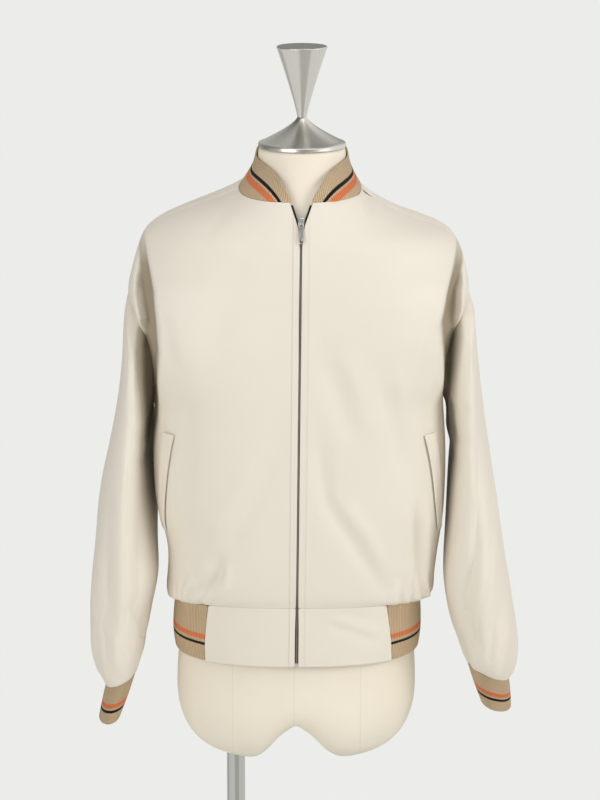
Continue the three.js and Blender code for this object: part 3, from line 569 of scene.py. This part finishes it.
def pleats(points, spans):
    """Small uneven gathers above the hem seam where the rib draws the cloth in."""
    x, y, z = points.T
    inside = np.zeros(len(x))
    for low, high in spans:
        inside = np.maximum(inside, ease((x - low) / 0.012) * ease((high - x) / 0.012))
    uneven = wander(points, 22.0, 4.0)
    around = np.arctan2(y, x) * BODY_RADIUS
    tall = 0.040 + 0.030 * wander(points * np.array([1.0, 1.0, 0.1]), 30.0, 9.0)
    fade = 1.0 - ease((z - HEM_SEAM) / tall)
    ripple = np.sin(around / PLEAT_PITCH * 2 * math.pi + 4.0 * uneven)
    return PLEAT_DEEP * inside * fade * ripple * (0.8 + 0.8 * uneven)


def body_shape(folds, spans):
    """Creases, gathers and the arm's valley, for the fronts or the back."""
    def shape(points, normals):
        push = sum(fold(points, *one) for one in folds)
        push = push + 0.0014 * wander(points, 7.0) + pleats(points, spans) + gathers(points)
        z = points[:, 2]
        outward = points * np.array([1.0, 1.0, 0.0])
        outward /= np.linalg.norm(outward, axis=1)[:, None]
        edges = ease((z - HEM_SEAM) / 0.014) * ease((NECK_SEAM - z) / 0.010)
        return outward * (push * edges)[:, None] + valley(points)
    return shape


SLEEVE_FOLDS = {  # by side: line, width, depth
    1: [
        ([(0.229, 0.950), (0.234, 0.834), (0.230, 0.742), (0.206, 0.630)], 0.0125, 0.0075),
        ([(0.252, 0.940), (0.256, 0.830), (0.254, 0.730), (0.240, 0.640)], 0.0130, -0.0042),
        ([(0.206, 0.840), (0.200, 0.760), (0.191, 0.683)], 0.0085, -0.0042),
        ([(0.176, 0.696), (0.197, 0.612)], 0.0070, 0.0060),
        ([(0.190, 0.706), (0.212, 0.620)], 0.0070, -0.0036),
        ([(0.226, 0.660), (0.230, 0.608)], 0.0080, 0.0036),
        ([(0.256, 0.650), (0.252, 0.590)], 0.0080, 0.0040),
        ([(0.272, 0.720), (0.272, 0.600)], 0.0090, -0.0030),
    ],
    -1: [
        ([(-0.228, 0.900), (-0.236, 0.740), (-0.239, 0.605)], 0.0120, -0.0046),
        ([(-0.212, 0.900), (-0.217, 0.760), (-0.221, 0.664)], 0.0110, 0.0050),
        ([(-0.252, 0.860), (-0.260, 0.720), (-0.258, 0.620)], 0.0120, 0.0052),
        ([(-0.277, 0.740), (-0.279, 0.640)], 0.0090, -0.0030),
        ([(-0.230, 0.668), (-0.207, 0.600)], 0.0075, 0.0064),
        ([(-0.204, 0.668), (-0.220, 0.598)], 0.0065, 0.0050),
        ([(-0.268, 0.650), (-0.262, 0.582)], 0.0075, 0.0044),
        ([(-0.246, 0.640), (-0.246, 0.580)], 0.0065, -0.0030),
    ],
}


ELBOW_WRINKLES = ((0.930, 0.0045), (0.893, 0.0035), (0.858, 0.0025))   # height, depth
BEHIND_SHIFT = (0.008, 0.0, -0.012)              # how far the folds behind lie from those in front
SLEEVE_TOP, SLEEVE_END = 1.070, 0.560


def sleeve_shape(side):
    """Long folds down a hanging sleeve, the elbow's and the wrinkles above the cuff."""
    def shape(points, normals):
        x, y, z = points.T
        across = abs(x)
        front = ease((-normals[:, 1] + 0.15) / 0.5)
        behind = ease((normals[:, 1] + 0.15) / 0.5)
        shifted = points + np.array(BEHIND_SHIFT) * np.array([side, 1.0, 1.0])
        push = sum(fold(points, *one) for one in SLEEVE_FOLDS[side]) * front
        push = push + sum(fold(shifted, *one) for one in SLEEVE_FOLDS[side]) * behind
        for height, deep in ELBOW_WRINKLES:
            drop = (z - height - 0.45 * (across - 0.2)) / 0.010
            push = push - deep * np.exp(-drop * drop) * ease((0.232 - across) / 0.03)
        ring = np.arctan2(y + 0.042, across - 0.243)
        low = ease((0.650 - z) / 0.06)
        push = push + 0.0015 * low * np.sin(9.0 * ring + 3.0 * wander(points, 14.0, 2.0))
        push = push + 0.0016 * wander(points, 9.0, 5.0 * side)
        middle = np.stack([side * (0.216 + 0.027 * ease((1.05 - z) / 0.4)), 0 * y - 0.03, z], axis=1)
        outward = points - middle
        outward /= np.linalg.norm(outward, axis=1)[:, None] + 1e-9
        ends = ease((SLEEVE_TOP - z) / 0.05) * ease((z - SLEEVE_END) / 0.012)
        near_body = lerp(0.30, 1.0, ease((across - 0.200) / 0.015))
        return outward * (push * ends * near_body)[:, None] + valley(points) + drawn_in(points)
    return shape


EDGE_REACH, EDGE_SHIFT = 0.030, 0.0013   # the front edges close in on the zip


def closed_in(points):
    """Moves the closed part of the front edges towards the zip."""
    x, y, z = points.T
    away = x - centre_x(z)
    near = 1.0 - ease((abs(away) - 0.003) / EDGE_REACH)
    closed = ease((1.172 - z) / 0.02) * (0.25 + 0.75 * ease((z - 0.640) / 0.060))
    return np.stack([-np.sign(away) * EDGE_SHIFT * near * closed, 0 * y, 0 * z], axis=1)


def front_shape(points, normals):
    return body_shape(FRONT_FOLDS, FRONT_SPANS)(points, normals) + closed_in(points)


BAND_LOW, BAND_HIGH = 0.599, 0.676
BAND_FOLDS = [  # line, width, depth
    ([(0.028, 0.656), (0.066, 0.642), (0.106, 0.622)], 0.0070, 0.0013),
    ([(0.044, 0.671), (0.080, 0.662), (0.112, 0.646)], 0.0070, 0.0012),
    ([(0.034, 0.664), (0.070, 0.653), (0.108, 0.634)], 0.0060, -0.0010),
    ([(-0.060, 0.662), (-0.080, 0.636), (-0.085, 0.608)], 0.010, 0.0008),
]


def band_shape(points, normals):
    push = sum(fold(points, *one) for one in BAND_FOLDS)
    z = points[:, 2]
    edges = ease((z - BAND_LOW) / 0.008) * ease((BAND_HIGH - z) / 0.008)
    return np.stack([0 * z, -push * edges, 0 * z], axis=1) + closed_in(points)


for side_name, sign in (("right", -1), ("left", 1)):
    soft(f"front_{side_name}", 3, SHELL_FRONT, "shell_cloth", front_shape)
    soft(f"sleeve_{side_name}", 3, SHELL, "shell_cloth", sleeve_shape(sign))
    soft(f"hem_band_{side_name}", 4, SHELL_FRONT, "shell_cloth", band_shape)
    soft(f"pocket_welt_{side_name}", 2, SHELL, "shell_cloth", body_shape(FRONT_FOLDS, FRONT_SPANS))
soft("back", 2, SHELL, "shell_cloth", body_shape(BACK_FOLDS, BACK_SPANS))


# ------------------------------------------------------------------ ribs
def set_uv(piece, place):
    """Gives each point a (along, up) place in metres, for the knit."""
    data = piece.data
    layer = data.uv_layers.new(name="knit")
    places = [place(v.co) for v in data.vertices]
    for loop in data.loops:
        layer.data[loop.index].uv = places[loop.vertex_index]


HEM_RADIUS, CUFF_RADIUS, NECK_RADIUS = 0.143, 0.034, 0.072   # turn an angle into a length of knit
CUFF_TALL = 0.052
CUFFS = {  # by side, top then bottom: outer height, inner height, outer x, inner x
    -1: ((0.551, 0.569, 0.2635, 0.222), (0.507, 0.507, 0.273, 0.244)),
    1: ((0.559, 0.582, 0.2785, 0.221), (0.522, 0.528, 0.2815, 0.240)),
}


def hem_place(co):
    return (math.atan2(co.y, co.x - centre_x(co.z)) * HEM_RADIUS, co.z)


def cuff_place(side):
    top_row, low_row = CUFFS[side]

    def height(row, x):
        z_outer, z_inner, outer, inner = row
        return lerp(z_inner, z_outer, (x - inner) / (outer - inner))

    def place(co):
        x = co.x * side
        top, low = height(top_row, x), height(low_row, x)
        t = (co.z - low) / (top - low)
        middle = lerp(0.5 * sum(low_row[2:]), 0.5 * sum(top_row[2:]), t)
        return (math.atan2(co.y + 0.048, 1.8 * (x - middle)) * CUFF_RADIUS, t * CUFF_TALL)
    return place


NECK_POWER = 2.25                         # 2 is an ellipse, more is squarer
SEAM_STEPS = 40


def neck_seam(side, share, front):
    """Plan angle and height of the neck seam, at a share of the way from a centre line to the side."""
    wide, deep = (0.082 if side < 0 else 0.079), (0.086 if front else 0.067)
    angle = share * math.pi / 2
    reach = (abs(math.cos(angle)) ** NECK_POWER + abs(math.sin(angle)) ** NECK_POWER) ** (-1 / NECK_POWER)
    start = 0.0148 if front else 0.0
    x = lerp(start, wide, reach * math.sin(angle)) * side - 0.0006
    y = (-1 if front else 1) * deep * reach * math.cos(angle)
    return math.atan2(x, -y), lerp(1.2115 if front else 1.233, 1.216, share * share)


def collar_place():
    """V is the distance below the collar's top edge."""
    places = []
    for side in (-1, 1):
        for front in (True, False):
            places += [neck_seam(side, k / SEAM_STEPS, front) for k in range(SEAM_STEPS + 1)]
    places.sort()
    angles, heights = np.array(places).T

    def place(co):
        angle = math.atan2(co.x, -co.y)
        turn = math.degrees(abs(angle))
        rise = lerp(0.045, 0.050, max(0.0, turn - 90) / 90) * (1 - math.exp(-max(0.0, turn - 8.5) / 18))
        top = float(np.interp(angle, angles, heights)) + max(0.0025, rise)
        lower = 0.0035 * ease((co.x - 0.02) / 0.04) * ease((0.02 - co.y) / 0.03)
        return (angle * NECK_RADIUS, (co.z - top) * 1.08 + lower)
    return place


for node, levels, material, place in (
        ("hem_rib", 3, HEM_RIB, hem_place),
        ("cuff_right", 3, CUFF_RIB, cuff_place(-1)),
        ("cuff_left", 3, CUFF_RIB, cuff_place(1)),
        ("collar_rib", 3, COLLAR_RIB, collar_place())):
    set_uv(soft(node, levels, material, "rib_knit"), place)


# ------------------------------------------------------------------ zip
def chain_face():
    """Depth of the chain's front face by height."""
    face = {}
    for vertex in NODES["zip_chain"].data.vertices:
        key = round(vertex.co.z, 4)
        face[key] = min(face.get(key, 1.0), vertex.co.y)
    return sorted(face.items())


CHAIN = chain_face()


def chain_y(z):
    for (z0, y0), (z1, y1) in zip(CHAIN, CHAIN[1:]):
        if z0 <= z <= z1:
            return lerp(y0, y1, (z - z0) / (z1 - z0))
    return CHAIN[0][1] if z < CHAIN[0][0] else CHAIN[-1][1]


def boxes(name, places, halves, material, slot, node=None):
    """One mesh of small rounded boxes of the same half sizes, a box for each centre."""
    mesh = bmesh.new()
    for centre in places:
        for vertex in bmesh.ops.create_cube(mesh, size=1.0)["verts"]:
            vertex.co = Vector(centre) + Vector([2.0 * vertex.co[k] * halves[k] for k in range(3)])
    piece = to_object(mesh, name)
    bevel = piece.modifiers.new("bevel", "BEVEL")
    bevel.width, bevel.segments, bevel.limit_method = 0.00022, 1, "NONE"
    return finish_piece(piece, material, node, slot)


TOOTH_PITCH = 0.0021
CLOSED_TOOTH, OPEN_TOOTH = (0.0008, 0.0005, 0.0007), (0.0013, 0.0007, 0.0006)   # half sizes
TOOTH_OFFSET = 0.00035                   # each closed tooth from the centre line
V_FOOT, V_SLOPE = 1.178, 0.363           # where the two rows part, and how fast


def strip(name, heights, half, front, back, material, node, slot):
    """A dark bar down the centre line, between two depths behind the zip's front face."""
    mesh = bmesh.new()
    rows = []
    for z in heights:
        wide = half(z)
        rows.append([mesh.verts.new((centre_x(z) + side * wide, chain_y(z) + depth, z))
                     for side, depth in ((-1, front), (1, front), (1, back), (-1, back))])
    for low, high in zip(rows, rows[1:]):
        for k in range(4):
            mesh.faces.new((low[k], low[(k + 1) % 4], high[(k + 1) % 4], high[k]))
    mesh.faces.new(rows[0])
    mesh.faces.new(rows[-1])
    bmesh.ops.recalc_face_normals(mesh, faces=mesh.faces)
    return finish_piece(to_object(mesh, name), material, node, slot)


def core_half(z):
    """The dark core is wider near the hem."""
    return lerp(0.0020, 0.0010, ease((z - 0.640) / 0.060))


heights = [z for k, (z, _) in enumerate(CHAIN) if k == 0 or z - CHAIN[k - 1][0] > 1e-4]
strip("zip_chain_core", heights, core_half, 0.0006, 0.0020, ZIP_DARK, "zip_chain", "zip_tape")
teeth = []
for k in range(int((CHAIN[-1][0] - CHAIN[0][0]) / TOOTH_PITCH)):
    z = CHAIN[0][0] + (k + 0.5) * TOOTH_PITCH
    side = 1 if k % 2 else -1
    teeth.append((centre_x(z) + side * TOOTH_OFFSET, chain_y(z) + 0.0008, z))
boxes("zip_teeth_closed", teeth, CLOSED_TOOTH, TOOTH, "zip_tape")

for side_name, side in (("right", -1), ("left", 1)):
    low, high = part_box("zip_teeth_" + side_name)
    open_teeth = []
    for k in range(int((high[2] - low[2]) / TOOTH_PITCH)):
        z = low[2] + (k + 0.5) * TOOTH_PITCH
        edge = 0.0012 + max(0.0, z - V_FOOT) * V_SLOPE
        y = lerp(low[1], high[1] - 0.0020, (z - low[2]) / (high[2] - low[2])) + 0.0010
        open_teeth.append((centre_x(z) + side * edge, y, z))
    name = "zip_teeth_open_" + side_name
    boxes(name, open_teeth, OPEN_TOOTH, ZIP_DARK, "zip_tape", "zip_teeth_" + side_name)
for node in ("zip_tape_right", "zip_tape_left"):
    NODES[node].data.materials.clear()
    NODES[node].data.materials.append(ZIP_DARK)


def bevelled(node, material, slot, width, body="root"):
    piece = to_object(welded(node), node + "_metal")
    bevel = piece.modifiers.new("bevel", "BEVEL")
    bevel.width, bevel.segments, bevel.limit_method = width, 2, "ANGLE"
    return finish_piece(piece, material, node, slot, body)


bevelled("zip_slider", ZIP_METAL, "zip_metal", 0.00025)
bevelled("zip_pull", ZIP_METAL, "zip_metal", 0.0002, "zip_pull")
bevelled("zip_stop", ZIP_METAL, "zip_metal", 0.0003)


# ------------------------------------------------------------------ dress form and steel
soft("form_torso", 2, FORM, "form_cover", name="form_cover_skin")


def lathe(name, profile, material, node, slot, centre=(0.0, 0.0), sides=96):
    """Turns a profile of (radius, height) points round a vertical line."""
    mesh = bmesh.new()
    rings = []
    for radius, z in profile:
        if radius == 0.0:
            rings.append([mesh.verts.new((centre[0], centre[1], z))])
            continue
        rings.append([mesh.verts.new((centre[0] + radius * math.cos(2 * math.pi * k / sides),
                                      centre[1] + radius * math.sin(2 * math.pi * k / sides), z))
                      for k in range(sides)])
    for low, high in zip(rings, rings[1:]):
        for k in range(sides):
            j = (k + 1) % sides
            if len(low) == 1:
                mesh.faces.new((low[0], high[k], high[j]))
            elif len(high) == 1:
                mesh.faces.new((low[j], low[k], high[0]))
            else:
                mesh.faces.new((low[k], high[k], high[j], low[j]))
    bmesh.ops.recalc_face_normals(mesh, faces=mesh.faces)
    piece = to_object(mesh, name)
    piece.data.set_sharp_from_angle(angle=math.radians(35))
    return finish_piece(piece, material, node, slot)


CAP_LOW, CAP_WAIST, TOP = 1.2703, 1.3090, 1.4017
RIM, RIM_TALL, NARROW, TOP_RIM = 0.0572, 0.006, 0.006, 0.033
FLARE_STEPS = 24
POLE_RADIUS = 0.0125
BASE_RADIUS, BASE_TALL = 0.190, 0.012


def flare(first, last, low, high, power, steps):
    """Profile points from one radius and height to another, curved by the power."""
    return [(lerp(first, last, (t / FLARE_STEPS) ** power), lerp(low, high, t / FLARE_STEPS)) for t in steps]


cap = [(0.0, CAP_LOW), (RIM - 0.0012, CAP_LOW), (RIM, CAP_LOW + 0.0012), (RIM, CAP_LOW + RIM_TALL - 0.001),
       (RIM - 0.001, CAP_LOW + RIM_TALL)]
cap += flare(NARROW, RIM - 0.002, CAP_WAIST, CAP_LOW + RIM_TALL, 1.35, range(FLARE_STEPS - 1, -1, -1))
lathe("cap_steel", cap + [(0.0, CAP_WAIST)], STEEL, "neck_cap", "steel_spun")
foot = CAP_WAIST + 0.0003
handle = [(0.0, foot)] + flare(NARROW, TOP_RIM - 0.0004, foot, TOP - 0.0025, 1.15, range(FLARE_STEPS + 1))
handle += [(TOP_RIM, TOP - 0.0018), (TOP_RIM, TOP - 0.0008), (TOP_RIM - 0.001, TOP), (0.0, TOP)]
lathe("finial_steel", handle, STEEL, "finial", "steel_spun")
low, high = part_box("pole")
pole_x = 0.5 * (low[0] + high[0])
lathe("pole_steel", [(0.0, low[2]), (POLE_RADIUS, low[2]), (POLE_RADIUS, high[2]), (0.0, high[2])],
      STAND, "pole", "steel_stand", (pole_x, 0.0))
plate = [(0.0, 0.0), (BASE_RADIUS - 0.001, 0.0), (BASE_RADIUS, 0.001), (BASE_RADIUS, BASE_TALL - 0.003),
         (BASE_RADIUS - 0.003, BASE_TALL), (0.0, BASE_TALL)]
lathe("base_steel", plate, STAND, "base_plate", "steel_stand")


# ------------------------------------------------------------------ stage, light and camera
def studio(name, seen):
    """Pale stage: the camera and reflections see its plain colour; light falls on it as usual."""
    n = Nodes(name)
    n.set(Roughness=0.9)
    n.shader.inputs["Base Color"].default_value = seen
    glow = n.add("ShaderNodeEmission", Strength=1.0)
    glow.inputs["Color"].default_value = seen
    ways = n.add("ShaderNodeLightPath")
    either = n.math("MAXIMUM", ways.outputs["Is Camera Ray"], ways.outputs["Is Glossy Ray"])
    mixed = n.add("ShaderNodeMixShader")
    n.link(either, mixed.inputs[0])
    n.link(n.shader.outputs[0], mixed.inputs[1])
    n.link(glow.outputs[0], mixed.inputs[2])
    n.link(mixed.outputs[0], n.tree.nodes["Material Output"].inputs["Surface"])
    return n.material


def plane(name, corners, material):
    data = bpy.data.meshes.new(name)
    data.from_pydata(corners, [], [(0, 1, 2, 3)])
    piece = bpy.data.objects.new(name, data)
    bpy.context.scene.collection.objects.link(piece)
    data.materials.append(material)


PALE = srgb(236, 237, 234)
FLOOR = 6.0
plane("floor", [(-FLOOR, -FLOOR, 0), (FLOOR, -FLOOR, 0), (FLOOR, FLOOR, 0), (-FLOOR, FLOOR, 0)],
      studio("floor_pale", PALE))

ROOM_TONES = ((0.0, 0.25), (0.22, 0.10), (0.40, 0.62), (0.55, 0.20), (0.74, 0.95), (1.0, 0.40))


def studio_world():
    """Even light, a plain pale surround for the camera, and lighter and darker walls seen in steel only."""
    world = bpy.data.worlds.new("studio")
    bpy.context.scene.world = world
    world.use_nodes = True
    nodes, link = world.node_tree.nodes, world.node_tree.links.new
    light = nodes["Background"]
    light.inputs["Color"].default_value = srgb(243, 244, 242)
    light.inputs["Strength"].default_value = 0.42
    seen = nodes.new("ShaderNodeBackground")
    seen.inputs["Color"].default_value = PALE
    seen.inputs["Strength"].default_value = 1.0
    room = nodes.new("ShaderNodeBackground")
    ramp = nodes.new("ShaderNodeValToRGB")
    for place, tone in ROOM_TONES:
        ramp.color_ramp.elements.new(place).color = (tone, tone, 0.97 * tone, 1.0)
    parts = nodes.new("ShaderNodeSeparateXYZ")
    half = nodes.new("ShaderNodeMath")
    half.operation = "MULTIPLY_ADD"
    half.inputs[1].default_value = half.inputs[2].default_value = 0.5
    link(nodes.new("ShaderNodeTexCoord").outputs["Generated"], parts.inputs[0])
    link(parts.outputs[0], half.inputs[0])
    link(half.outputs[0], ramp.inputs[0])
    link(ramp.outputs[0], room.inputs["Color"])
    ways = nodes.new("ShaderNodeLightPath")
    glossy, camera = nodes.new("ShaderNodeMixShader"), nodes.new("ShaderNodeMixShader")
    for mixer, ray, first, second in (
            (glossy, "Is Glossy Ray", light, room), (camera, "Is Camera Ray", glossy, seen)):
        link(ways.outputs[ray], mixer.inputs[0])
        link(first.outputs[0], mixer.inputs[1])
        link(second.outputs[0], mixer.inputs[2])
    link(camera.outputs[0], nodes["World Output"].inputs["Surface"])


studio_world()


def lamp(name, place, size, power, aim=(0.0, 0.0, 0.9)):
    data = bpy.data.lights.new(name, "AREA")
    data.shape, data.size, data.energy = "SQUARE", size, power
    light = bpy.data.objects.new(name, data)
    light.location = place
    light.rotation_euler = (Vector(aim) - Vector(place)).to_track_quat("-Z", "Y").to_euler()
    bpy.context.scene.collection.objects.link(light)


lamp("window", (3.0, -1.6, 2.0), 1.6, 50.0)
lamp("fill", (-2.2, -3.2, 1.6), 2.6, 56.0)
lamp("top", (0.3, -0.6, 3.6), 1.6, 18.0)

camera_data = bpy.data.cameras.new("camera")
camera_data.sensor_width = SENSOR
camera_data.lens = LENS
camera_data.clip_end = 50.0
camera = bpy.data.objects.new("camera", camera_data)
back_off = Vector((0.0, -math.cos(ELEVATION), math.sin(ELEVATION)))
camera.location = TARGET + DISTANCE * back_off
camera.rotation_euler = (TARGET - camera.location).to_track_quat("-Z", "Y").to_euler()
bpy.context.scene.collection.objects.link(camera)
bpy.context.scene.camera = camera
bpy.context.scene.view_settings.view_transform = "Standard"
